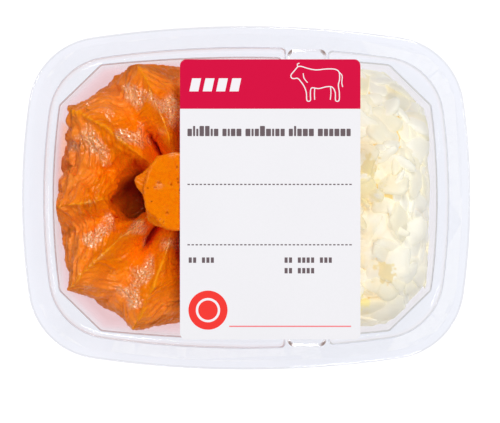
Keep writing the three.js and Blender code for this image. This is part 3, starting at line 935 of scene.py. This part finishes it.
# One chopped piece: a slice of an onion layer with a rounded rim, bowed both ways
def onionChip(kind, material):
    seeded = np.random.default_rng(onion["firstSeed"] + kind)
    length, width, thick, sideways = onion["kinds"][kind]
    count = onion["chipSteps"]
    turn = np.linspace(0, 2 * math.pi, count, endpoint=False)
    cosine, sine = np.cos(turn), np.sin(turn)
    power = onion["squareness"]
    square = (np.abs(cosine) ** power + np.abs(sine) ** power) ** (-1 / power)
    uneven = 1 + onion["uneven"] * seeded.standard_normal(count)
    uneven = (uneven + np.roll(uneven, 1) + np.roll(uneven, -1)) / 3
    skew, taper = (seeded.uniform(-most, most) for most in (onion["skew"], onion["taper"]))
    x = length / 2 * square * uneven * cosine
    y = width / 2 * square * uneven * sine * (1 + taper * cosine)
    x += skew * y
    bowX, bowY = seeded.uniform(*onion["bowAlong"]), seeded.uniform(*onion["bowAcross"])
    rings, place = [], []
    for share, height in onion["chipRim"]:
        px, py = x * share, y * share
        bent = py + sideways * (px / (length / 2)) ** 2
        drop = px ** 2 / (2 * bowX) + py ** 2 / (2 * bowY)
        rings.append(np.column_stack([px, bent, thick / 2 * height - drop]))
        place.append(np.column_stack([px, py, np.full(count, thick / 2 * height)]))
    faces = [quad[::-1] for quad in ringQuads(len(rings), count)]
    ends = [rings[0].mean(0), rings[-1].mean(0)]
    last, top = (len(rings) - 1) * count, len(rings) * count
    faces += fanFaces(count, 0, top) + fanFaces(count, last, top + 1, flip=True)
    chip = makePiece(f"onion_chip_{kind}", np.vstack(rings + [ends]), faces, [material])
    setPlaces(chip, "chipPlace", np.vstack(place + [[[0, 0, thick / 2], [0, 0, -thick / 2]]]))
    return chip


def scatterTree(chips, material):
    tree = bpy.data.node_groups.new("onion_scatter", "GeometryNodeTree")
    face = tree.interface
    face.new_socket("Geometry", in_out="OUTPUT", socket_type="NodeSocketGeometry")
    face.new_socket("Geometry", in_out="INPUT", socket_type="NodeSocketGeometry")
    for name, kind in (("Spacing", "NodeSocketFloat"), ("Smallest", "NodeSocketFloat"),
                       ("Largest", "NodeSocketFloat"), ("Tilt", "NodeSocketFloat"),
                       ("Seed", "NodeSocketInt")):
        face.new_socket(name, in_out="INPUT", socket_type=kind)
    given = addNode(tree, "NodeGroupInput").outputs
    scattered = addNode(tree, "GeometryNodeDistributePointsOnFaces", {
        "Mesh": given["Geometry"], "Distance Min": given["Spacing"],
        "Density Max": onion["density"], "Seed": given["Seed"]}, distribute_method="POISSON")
    joined = addNode(tree, "GeometryNodeJoinGeometry")
    for chip in chips:
        info = addNode(tree, "GeometryNodeObjectInfo", {"Object": chip, "As Instance": True})
        tree.links.new(info.outputs["Geometry"], joined.inputs[0])
    kind = addNode(tree, "FunctionNodeRandomValue", {
        "Seed": given["Seed"], 4: 0, 5: len(chips) - 1}, data_type="INT")
    size = addNode(tree, "FunctionNodeRandomValue", {
        "Seed": given["Seed"], 2: given["Smallest"], 3: given["Largest"]})
    placed = addNode(tree, "GeometryNodeInstanceOnPoints", {
        "Points": scattered.outputs["Points"], "Instance": joined.outputs[0],
        "Pick Instance": True, "Instance Index": kind.outputs[2],
        "Rotation": scattered.outputs["Rotation"], "Scale": size.outputs[1]})
    lean = addNode(tree, "FunctionNodeRandomValue", {
        "Seed": onion["leanSeed"], 0: (-1, -1, -math.pi), 1: (1, 1, math.pi)},
        data_type="FLOAT_VECTOR")
    amount = addNode(tree, "ShaderNodeCombineXYZ", [given["Tilt"], given["Tilt"], 1.0])
    tilted = addNode(tree, "ShaderNodeVectorMath", [lean.outputs[0], amount.outputs[0]],
                     operation="MULTIPLY")
    turned = addNode(tree, "GeometryNodeRotateInstances", {
        "Instances": placed.outputs[0], "Rotation": tilted.outputs[0]})
    tone = addNode(tree, "FunctionNodeRandomValue", {"Seed": onion["toneSeed"]})
    toned = addNode(tree, "GeometryNodeStoreNamedAttribute", {
        "Geometry": turned.outputs[0], "Name": "tone", "Value": tone.outputs[1]},
        domain="INSTANCE")
    real = addNode(tree, "GeometryNodeRealizeInstances", {"Geometry": toned.outputs[0]})
    painted = addNode(tree, "GeometryNodeSetMaterial", {
        "Geometry": real.outputs[0], "Material": material})
    addNode(tree, "NodeGroupOutput", {"Geometry": painted.outputs[0]})
    return tree


def scatterOnion(core, fleshMaterial):
    chips = [onionChip(kind, fleshMaterial) for kind in range(len(onion["kinds"]))]
    base = bpy.data.objects.new("onion_pieces", core.data.copy())
    scene.collection.objects.link(base)
    tree = scatterTree(chips, fleshMaterial)
    scatter = base.modifiers.new("scatter", "NODES")
    values = {"Spacing": onion["spacing"] * mm, "Smallest": onion["sizes"][0],
              "Largest": onion["sizes"][1], "Tilt": onion["tilt"], "Seed": onion["seed"]}
    scatter.node_group = tree
    for item in tree.interface.items_tree:
        if item.in_out == "INPUT" and item.name in values:
            scatter[item.identifier] = values[item.name]
    applied(base)
    for chip in chips:
        bpy.data.objects.remove(chip)
    points = np.empty(len(base.data.vertices) * 3)
    base.data.vertices.foreach_get("co", points)
    points = keepInside("onion", points.reshape(-1, 3) / mm, onion["wallGap"])
    points[:, 2] = np.clip(points[:, 2], tray["sheet"] + onion["floorGap"],
                           rimTop - onion["filmGap"])
    base.data.vertices.foreach_set("co", (points * mm).ravel())
    base.data.update()
    print("onion pieces:", len(base.data.polygons), "faces")
    return base


# Raw onion: wet, waxy white flesh that lets light well in; a painted glow stands in for that light,
# and deep places are painted golden shade
flesh = {"white": "#DFDDD2", "cream": "#DDD8C2", "yellow": "#DCD38C", "warm": "#D6BC7A",
         "gold": "#CDB046", "amber": "#D6C476", "strongYellow": "#DCCB50",
         # where each tone of piece begins, from 0 to 1
         "tones": [(0.5, "white"), (0.85, "cream"), (0.965, "cream")],
         # painted golden shade in deeper places of the heap: place, size and colour, with uneven
         # edges
         "goldenShadeSpots": [((39.0, 10.8, 0), 4.0, "gold"), ((38.5, 3.0, 0), 6.5, "amber"),
                   ((45.2, -24.6, 0), 3.6, "gold"), ((37.2, -34.6, 0), 3.2, "strongYellow")],
         "unevenness": (2.4, 14.0), "spotShare": 0.7, "spotHeart": 0.45,
         # warmer towards the label (x from, to) and towards the lower side (y from, to)
         "warmAcross": (52.0, 34.0), "warmUp": (30, 16), "warmShare": (0.15, 0.8),
         # uneven over patches of this size, as (from low, from high, to low, to high)
         "warmPatch": 7.0, "warmRamp": (0.4, 0.62, 0.25, 1.0),
         "roughness": 0.34, "gloss": 0.25, "scatter": 0.3, "scatterDepth": (1.0, 0.95, 0.7),
         "veinPitch": 0.7, "veinStretch": (0.12, 1.0, 1.0), "relief": 0.2,
         # glow is a painted glow: emission that stands in for light the flesh lets through
         "glow": 0.28, "paintedGlowTint": "#FFF9E6", "deepPaintedGlowTint": "#F6D88E"}
# The core shows only in the gaps between pieces; its gold and cream are painted warm shade there
coreLook = {"gold": "#E0BA68", "cream": "#E6D090", "patch": 6.0}


# the emission here is a painted glow, not a lamp
def closeOnion(tree, colour, height, tint):
    bump = addNode(tree, "ShaderNodeBump", {
        "Height": height, "Strength": 0.3, "Distance": flesh["relief"] * mm})
    shader = addNode(tree, "ShaderNodeBsdfPrincipled", {
        "Base Color": colour, "Roughness": flesh["roughness"], "Normal": bump.outputs[0],
        "IOR": 1.36, "Subsurface Weight": flesh["scatter"], "Subsurface Scale": mm,
        "Subsurface Radius": flesh["scatterDepth"], "Specular IOR Level": flesh["gloss"],
        "Emission Color": linearColour(tint), "Emission Strength": flesh["glow"]})
    closeMaterial(tree, shader.outputs[0])


def makeOnionFlesh():
    material, tree = newMaterial("raw_onion_flesh")
    tone = addNode(tree, "ShaderNodeAttribute", attribute_name="tone").outputs["Fac"]
    ramp = addNode(tree, "ShaderNodeValToRGB", {"Fac": tone})
    stops = ramp.color_ramp.elements
    stops[0].position, stops[0].color = 0.0, linearColour(flesh["white"])
    stops[1].position, stops[1].color = 1.0, linearColour(flesh["yellow"])
    for position, name in flesh["tones"]:
        stops.new(position).color = linearColour(flesh[name])
    place = addNode(tree, "ShaderNodeAttribute", attribute_name="chipPlace").outputs["Vector"]
    stretched = addNode(tree, "ShaderNodeVectorMath", [place, flesh["veinStretch"]],
                        operation="MULTIPLY")
    veins = addNode(tree, "ShaderNodeTexNoise", {
        "Vector": stretched.outputs[0], "Scale": 1 / flesh["veinPitch"], "Detail": 2.0})
    where = addNode(tree, "ShaderNodeTexCoord").outputs["Object"]
    across, up, _ = addNode(tree, "ShaderNodeSeparateXYZ", [where]).outputs
    beside = addNode(tree, "ShaderNodeMapRange", [
        across, *(edge * mm for edge in flesh["warmAcross"])])
    patches = addNode(tree, "ShaderNodeTexNoise", {
        "Vector": where, "Scale": 1 / (flesh["warmPatch"] * mm)})
    spread = addNode(tree, "ShaderNodeMapRange", [patches.outputs[0], *flesh["warmRamp"]])
    warmth = addNode(tree, "ShaderNodeMath", [beside.outputs[0], spread.outputs[0]],
                     operation="MULTIPLY")
    below = addNode(tree, "ShaderNodeMapRange", [
        up, *(edge * mm for edge in flesh["warmUp"]), *flesh["warmShare"]])
    share = addNode(tree, "ShaderNodeMath", [warmth.outputs[0], below.outputs[0]],
                    operation="MULTIPLY")
    warmed = addNode(tree, "ShaderNodeMix", {
        "Factor": share.outputs[0], 6: ramp.outputs[0], 7: linearColour(flesh["warm"])},
        data_type="RGBA")
    shown = warmed.outputs[2]
    flat = addNode(tree, "ShaderNodeVectorMath", [where, (1, 1, 0)], operation="MULTIPLY")
    uneven = addNode(tree, "ShaderNodeTexNoise", {
        "Vector": where, "Scale": 1 / (flesh["unevenness"][0] * mm), "Detail": 2.0})
    most = flesh["unevenness"][1] * mm
    shift = addNode(tree, "ShaderNodeMath", [uneven.outputs[0], most, -most / 2],
                    operation="MULTIPLY_ADD")
    for place, size, name in flesh["goldenShadeSpots"]:
        middle = tuple(v * mm for v in place)
        away = addNode(tree, "ShaderNodeVectorMath", [flat.outputs[0], middle],
                       operation="DISTANCE").outputs["Value"]
        ragged = addNode(tree, "ShaderNodeMath", [away, shift.outputs[0]])
        near = addNode(tree, "ShaderNodeMapRange", [
            ragged.outputs[0], size * mm, flesh["spotHeart"] * size * mm, 0.0,
            flesh["spotShare"]], interpolation_type="SMOOTHSTEP")
        mixed = addNode(tree, "ShaderNodeMix", {
            "Factor": near.outputs[0], 6: shown, 7: linearColour(flesh[name])},
            data_type="RGBA")
        shown = mixed.outputs[2]
    closeOnion(tree, shown, veins.outputs[0], flesh["paintedGlowTint"])
    material.cycles.emission_sampling = "NONE"
    return material


# the deep core's colour is painted warm shade, and its emission a painted glow
def makeOnionDeep():
    material, tree = newMaterial("raw_onion_deep")
    where = addNode(tree, "ShaderNodeTexCoord").outputs["Object"]
    patches = addNode(tree, "ShaderNodeTexNoise", {
        "Vector": where, "Scale": 1 / (coreLook["patch"] * mm)})
    colour = addNode(tree, "ShaderNodeMix", {
        "Factor": patches.outputs[0], 6: linearColour(coreLook["cream"]),
        7: linearColour(coreLook["gold"])}, data_type="RGBA")
    closeOnion(tree, colour.outputs[2], patches.outputs[0], flesh["deepPaintedGlowTint"])
    material.cycles.emission_sampling = "NONE"
    return material


# Label: paper with plain printed fields. Print is laid out in mm from the label's lower left
label = {
    "corner": (-21.28, -45.5), "size": (58.0, 90.0), "round": 2.0, "thickness": 0.16,
    "band": 74.1, "lineWidth": 0.4, "line": (15.8, 55.0, 4.2),
    # plain blocks in the band: place of the first, pitch, size with slant, count
    "blocks": ((3.0, 79.7), 4.3, (2.9, 4.2, 0.9), 4),
    "oxPlace": (35.4, 76.3), "oxOutline": 0.17, "oxStroke": 0.15,
    # greeked text: from x, y, height, to x, then letters in each word and their sizes
    "textInk": (2.4, 65.3, 2.4, 55.0), "words": (7, 4, 8, 5, 6, 3),
    "widths": (0.7, 1.35, 1.45, 1.6), "tall": (0, 0, 0, 0.9), "letterRound": 0.2,
    "letterGap": 0.34, "wordGap": 0.95, "seed": 8,
    "rules": (49.8, 30.4), "dashes": (2.4, 1.3, 0.8, 41),   # from x, pitch, length, count
    # rows of plain boxes: (x, y, count), with two left open, then pitch and size
    "boxRows": ((2.8, 24.6, 6), (33.6, 24.6, 11), (33.6, 21.2, 8)), "open": (2, 7),
    "boxPitch": 1.42, "box": (1.0, 1.75),
    "disc": (9.0, 9.4, 6.3), "discRing": (0.62, 0.5),
}
inks = {"paper": "#F3F2F6", "crimson": "#DA0040", "white": "#F7F4F8", "text": "#6E6065",
        "red": "#F93A34", "pale": "#FA7A80"}


def bar(x, y, width, height, slant=0.0):
    return np.array([(x, y), (x + width, y), (x + width + slant, y + height),
                     (x + slant, y + height)])


def roundBar(x, y, width, height, corner, steps=6):
    turns = np.linspace(0, math.pi / 2, steps)
    points = []
    for i, (cx, cy) in enumerate([(x + width - corner, y + height - corner),
                                  (x + corner, y + height - corner), (x + corner, y + corner),
                                  (x + width - corner, y + corner)]):
        points += [(cx + corner * math.cos(t + i * math.pi / 2),
                    cy + corner * math.sin(t + i * math.pi / 2)) for t in turns]
    return np.array(points)


def disc(x, y, radius, steps=48):
    turns = np.linspace(0, 2 * math.pi, steps, endpoint=False)
    return np.column_stack([x + radius * np.cos(turns), y + radius * np.sin(turns)])


def smoothLoop(points, steps=5, closed=True):
    points = np.array(points, float)
    count = len(points)
    result = []
    spans = range(count if closed else count - 1)
    for i in spans:
        p0 = points[(i - 1) % count] if closed else points[max(i - 1, 0)]
        p1, p2 = points[i], points[(i + 1) % count]
        p3 = points[(i + 2) % count] if closed else points[min(i + 2, count - 1)]
        for t in np.arange(steps) / steps:
            result.append(0.5 * (2 * p1 + (p2 - p0) * t + (2 * p0 - 5 * p1 + 4 * p2 - p3) * t ** 2
                                 + (3 * p1 - p0 - 3 * p2 + p3) * t ** 3))
    if not closed:
        result.append(points[-1])
    return np.array(result)


def offsetLine(points, away, closed=True):
    if closed:
        along = np.roll(points, -1, axis=0) - np.roll(points, 1, axis=0)
    else:
        along = np.gradient(points, axis=0)
    along /= np.linalg.norm(along, axis=1, keepdims=True) + 1e-9
    return points + away * np.column_stack([-along[:, 1], along[:, 0]])


# A plain standing ox, as an outline, in a box about 17 mm wide
oxOutline = [(0.5, 7.7), (0.3, 8.7), (1.6, 10.3), (2.5, 11.3), (3.7, 11.4), (5.6, 10.8),
             (8.4, 10.3), (11.6, 10.6), (14.4, 10.5), (15.7, 9.6), (15.9, 7.4), (15.5, 5.4),
             (15.8, 3.0), (15.7, 0.5), (14.6, 0.5), (14.5, 3.0), (13.6, 4.7), (11.8, 4.9),
             (9.2, 4.3), (6.9, 4.5), (6.5, 2.7), (6.5, 0.5), (5.4, 0.5), (5.2, 3.0),
             (4.5, 5.0), (3.4, 6.6), (2.4, 7.6), (1.3, 7.5)]
oxStrokes = [[(15.7, 9.6), (16.7, 8.4), (16.6, 6.2), (16.9, 4.8)],
             [(2.5, 11.2), (2.3, 12.1), (3.0, 12.5)], [(7.9, 4.4), (7.8, 2.6), (7.9, 0.7)],
             [(13.0, 4.8), (13.1, 2.8), (12.9, 0.7)], [(4.2, 9.2), (4.5, 7.6), (5.6, 6.2)]]


def labelBorder():
    return roundBar(0, 0, *label["size"], label["round"], 8)


def counterClockwise(points):
    x, y = points[:, 0], points[:, 1]
    area = np.sum(x * np.roll(y, -1) - y * np.roll(x, -1))
    return points if area > 0 else points[::-1]


def printedFields():
    width = label["size"][0]
    border = labelBorder()
    edge = [(0, label["band"]), (width, label["band"])]
    fields = [("crimson", np.vstack([border[border[:, 1] > label["band"]], edge]))]
    (x, y), pitch, block, count = label["blocks"]
    fields += [("white", bar(x + pitch * i, y, *block)) for i in range(count)]
    ox = counterClockwise(smoothLoop(oxOutline)) + label["oxPlace"]
    line, stroke = label["oxOutline"], label["oxStroke"]
    fields += [("white", offsetLine(ox, -line)), ("crimson", offsetLine(ox, line))]
    for points in oxStrokes:
        run = smoothLoop(points, closed=False) + label["oxPlace"]
        sides = [offsetLine(run, stroke, False), offsetLine(run, -stroke, False)[::-1]]
        fields.append(("white", np.concatenate(sides)))
    x, y, tall, end = label["textInk"]
    seeded = np.random.default_rng(label["seed"])
    for letters in label["words"]:
        for _ in range(letters):
            wide = seeded.choice(label["widths"])
            rise = seeded.choice(label["tall"])
            if x + wide > end:
                break
            fields.append(("text", roundBar(x, y, wide, tall + rise, label["letterRound"], 3)))
            x += wide + label["letterGap"]
        x += label["wordGap"]
    thin = label["lineWidth"]
    x, pitch, dash, count = label["dashes"]
    for rule in label["rules"]:
        fields += [("text", bar(x + pitch * i, rule - thin / 2, dash, thin))
                   for i in range(count)]
    for x, y, count in label["boxRows"]:
        fields += [("text", bar(x + label["boxPitch"] * i, y, *label["box"]))
                   for i in range(count) if i not in label["open"]]
    cx, cy, radius = label["disc"]
    outer, inner = label["discRing"]
    fields += [("red", disc(cx, cy, radius)), ("white", disc(cx, cy, radius * outer)),
               ("red", disc(cx, cy, radius * inner))]
    x1, x2, y = label["line"]
    fields.append(("pale", bar(x1, y - thin / 2, x2 - x1, thin)))
    return fields


def makeLabel(materials):
    loops = [(ink, counterClockwise(loop))
             for ink, loop in [("paper", labelBorder())] + printedFields()]
    vertices, faceLoops = [], []
    for _, loop in loops:
        faceLoops.append(list(range(len(vertices), len(vertices) + len(loop))))
        vertices += [Vector(p) for p in loop]
    made = delaunay_2d_cdt(vertices, [], faceLoops, 1, 1e-5)
    flat = np.array([tuple(v) for v in made[0]])
    names = list(materials)
    faces, faceMaterials = [], []
    for triangle, sources in zip(made[2], made[5]):
        if 0 in sources:
            faces.append(list(triangle))
            faceMaterials.append(names.index(loops[max(sources)][0]))
    used = sorted({v for face in faces for v in face})
    renumber = {v: i for i, v in enumerate(used)}
    faces = [[renumber[v] for v in face] for face in faces]
    flat = flat[used] + label["corner"]
    edges = {(a, b): None for face in faces for a, b in zip(face, face[1:] + face[:1])}
    rim = [(a, b) for a, b in edges if (b, a) not in edges]
    bottom = rimTop + film["thickness"]
    top = bottom + label["thickness"]
    points = np.concatenate([np.column_stack([flat, np.full(len(flat), top)]),
                             np.column_stack([flat, np.full(len(flat), bottom)])])
    n = len(flat)
    paper = names.index("paper")
    under = [[v + n for v in face[::-1]] for face in faces]
    walls = [[b, a, a + n, b + n] for a, b in rim]
    faceMaterials += [paper] * (len(under) + len(walls))
    return makePiece("paper_label", points, faces + under + walls,
                     list(materials.values()), faceMaterials, smooth=False)


# Label stock: coated white paper, flexo printed; ink lies in it and dulls it a little
stock = {"fibre": (0.5, 3.0), "cloud": (25, 1.0),   # size in mm, detail
         "ramp": (0.7, 1.3, 0.0, 0.1), "darker": 0.8, "roughness": 0.5, "gloss": 0.12, "relief": 0.05}


def makePrinted(name, hexColour):
    material, tree = newMaterial(name)
    where = addNode(tree, "ShaderNodeTexCoord").outputs["Object"]
    fibre, cloud = (addNode(tree, "ShaderNodeTexNoise", {
        "Vector": where, "Scale": 1 / (size * mm), "Detail": detail})
        for size, detail in (stock["fibre"], stock["cloud"]))
    amount = addNode(tree, "ShaderNodeMath", [fibre.outputs[0], cloud.outputs[0]])
    share = addNode(tree, "ShaderNodeMapRange", [amount.outputs[0], *stock["ramp"]])
    base = linearColour(hexColour)
    darker = (*[stock["darker"] * c for c in base[:3]], 1)
    colour = addNode(tree, "ShaderNodeMix", {"Factor": share.outputs[0], 6: base, 7: darker},
                     data_type="RGBA")
    bump = addNode(tree, "ShaderNodeBump", {
        "Height": fibre.outputs[0], "Strength": 0.08, "Distance": stock["relief"] * mm})
    shader = addNode(tree, "ShaderNodeBsdfPrincipled", {
        "Base Color": colour.outputs[2], "Roughness": stock["roughness"],
        "Normal": bump.outputs[0], "Specular IOR Level": stock["gloss"]})
    closeMaterial(tree, shader.outputs[0])
    return material


# Stage: pale floor, soft lights round the pack, dark overhead so that the film stays clear
stage = {
    "floor": "#6A6A6C", "floorFar": "#686869", "glow": 0.96, "floorHalf": 3000,
    "floorDrop": 0.05,   # mm, so that the floor and the tray's base don't lie in one plane
    "cameraHeight": 1600.0, "photoScale": 0.3214, "farthest": 20,
    "opticalCentre": (250, 211.5), "packCentre": (246.2, 197.8), "imageWidth": 500,
    # direction from the pack in degrees, height in degrees, power, size in m
    "lights": [(76, 56, 9.2, 0.4), (158, 46, 6.6, 0.38), (286, 56, 8.2, 0.36),
               (8, 54, 2.6, 0.26)],
    "lightDistance": 1.5, "sky": (0.93, 0.93, 0.94, 1), "horizon": 0.12, "overhead": 0.04,
}


def makeFloor():
    material, tree = newMaterial("matt_white_table")
    where = addNode(tree, "ShaderNodeTexCoord").outputs["Object"]
    soft = addNode(tree, "ShaderNodeTexNoise", {"Vector": where, "Scale": 4.0})
    colour = addNode(tree, "ShaderNodeMix", {
        "Factor": soft.outputs[0], 6: linearColour(stage["floor"]),
        7: linearColour(stage["floorFar"])}, data_type="RGBA")
    shader = addNode(tree, "ShaderNodeBsdfPrincipled", {
        "Base Color": colour.outputs[2], "Roughness": 0.8,
        "Emission Color": (1, 1, 1, 1), "Emission Strength": stage["glow"]})
    closeMaterial(tree, shader.outputs[0])
    material.cycles.emission_sampling = "NONE"   # its glow is soft, so the lamps get the samples
    half, low = stage["floorHalf"], -stage["floorDrop"]
    corners = [(-half, -half, low), (half, -half, low), (half, half, low), (-half, half, low)]
    return makePiece("table_top", corners, [[0, 1, 2, 3]], [material])


def makeLights():
    for turn, rise, power, size in stage["lights"]:
        lamp = bpy.data.lights.new(f"softbox_{turn}", "AREA")
        lamp.energy, lamp.size = power, size
        holder = bpy.data.objects.new(lamp.name, lamp)
        a, b = math.radians(turn), math.radians(rise)
        direction = Vector((math.cos(a) * math.cos(b), math.sin(a) * math.cos(b), math.sin(b)))
        holder.location = direction * stage["lightDistance"]
        holder.rotation_euler = direction.to_track_quat("Z", "Y").to_euler()
        holder.visible_camera = False
        scene.collection.objects.link(holder)


def makeSky():
    world = bpy.data.worlds.new("studio")
    scene.world = world
    world.use_nodes = True
    tree = world.node_tree
    tree.nodes.clear()
    direction = addNode(tree, "ShaderNodeTexCoord").outputs["Generated"]
    rise = addNode(tree, "ShaderNodeSeparateXYZ", [direction]).outputs["Z"]
    share = addNode(tree, "ShaderNodeMapRange", [
        rise, 0.0, 0.5, stage["horizon"], stage["overhead"]], interpolation_type="SMOOTHSTEP")
    light = addNode(tree, "ShaderNodeBackground", {
        "Color": stage["sky"], "Strength": share.outputs[0]})
    addNode(tree, "ShaderNodeOutputWorld", {"Surface": light.outputs[0]})
    world.cycles.sampling_method = "NONE"


def makeCamera():
    lens = bpy.data.cameras.new("camera")
    camera = bpy.data.objects.new("camera", lens)
    scene.collection.objects.link(camera)
    scale = stage["photoScale"]
    away = stage["cameraHeight"]
    camera.location = ((stage["opticalCentre"][0] - stage["packCentre"][0]) * scale * mm,
                       (stage["packCentre"][1] - stage["opticalCentre"][1]) * scale * mm,
                       (rimTop + away) * mm)
    lens.lens = lens.sensor_width * away / (stage["imageWidth"] * scale)
    lens.clip_end = stage["farthest"]
    scene.camera = camera


makeCamera()
makeFloor()
makeLights()
makeSky()
scene.view_settings.view_transform = "Standard"
scene.cycles.diffuse_bounces = 8
scene.cycles.transparent_max_bounces = 24
print("stage and camera done")

finishPiece(makeTray(makeClearSheet("clear_formed_PET", clearPet, True)), "tray")
print("tray done")
finishPiece(makeFilm(makeClearSheet("clear_lid_film", clearFilm, False)), "film")
print("film done")
finishPiece(makeTartare(makePaste()), "tartare")
print("tartare done")
core = onionCore(makeOnionDeep())
finishPiece(scatterOnion(core, makeOnionFlesh()), "onion")
finishPiece(core, None)
print("onion done")
labelInks = {name: makePrinted(f"label_{name}", hexColour) for name, hexColour in inks.items()}
finishPiece(makeLabel(labelInks), "label")
print("label done")
